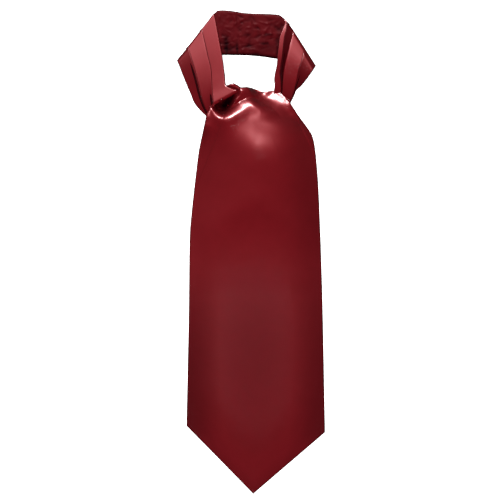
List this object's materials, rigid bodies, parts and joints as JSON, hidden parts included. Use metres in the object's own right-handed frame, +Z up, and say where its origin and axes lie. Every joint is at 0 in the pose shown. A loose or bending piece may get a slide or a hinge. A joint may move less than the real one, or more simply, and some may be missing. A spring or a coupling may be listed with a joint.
{
  "type": "silk cravat",
  "caption": "Wide satin day cravat with a pleated neck band, tied once and laid flat, its pointed front blade falling from a soft knot.",
  "frame": {"origin": "on the surface the cravat lies on, under the middle of its outline", "axes": "+Y along the cravat, from the blade's point to the back of the neck; +X across it, to the right seen from above with the point down; +Z up from the surface"},
  "size_m": [0.1599, 0.5221, 0.0304],
  "materials": {
    "satin_face": "burgundy silk satin, face side, soft broad sheen",
    "satin_inside": "burgundy silk satin, inside of the neck band, crumpled"
  },
  "bodies": {
    "root": {"knot_front": "satin_face", "front_blade": "satin_face", "back_blade": "satin_face", "knot_core": "satin_face", "knot_wrap": "satin_face", "neck_left": "satin_face", "neck_right": "satin_face", "neck_back": "satin_inside"}
  },
  "joints": []
}
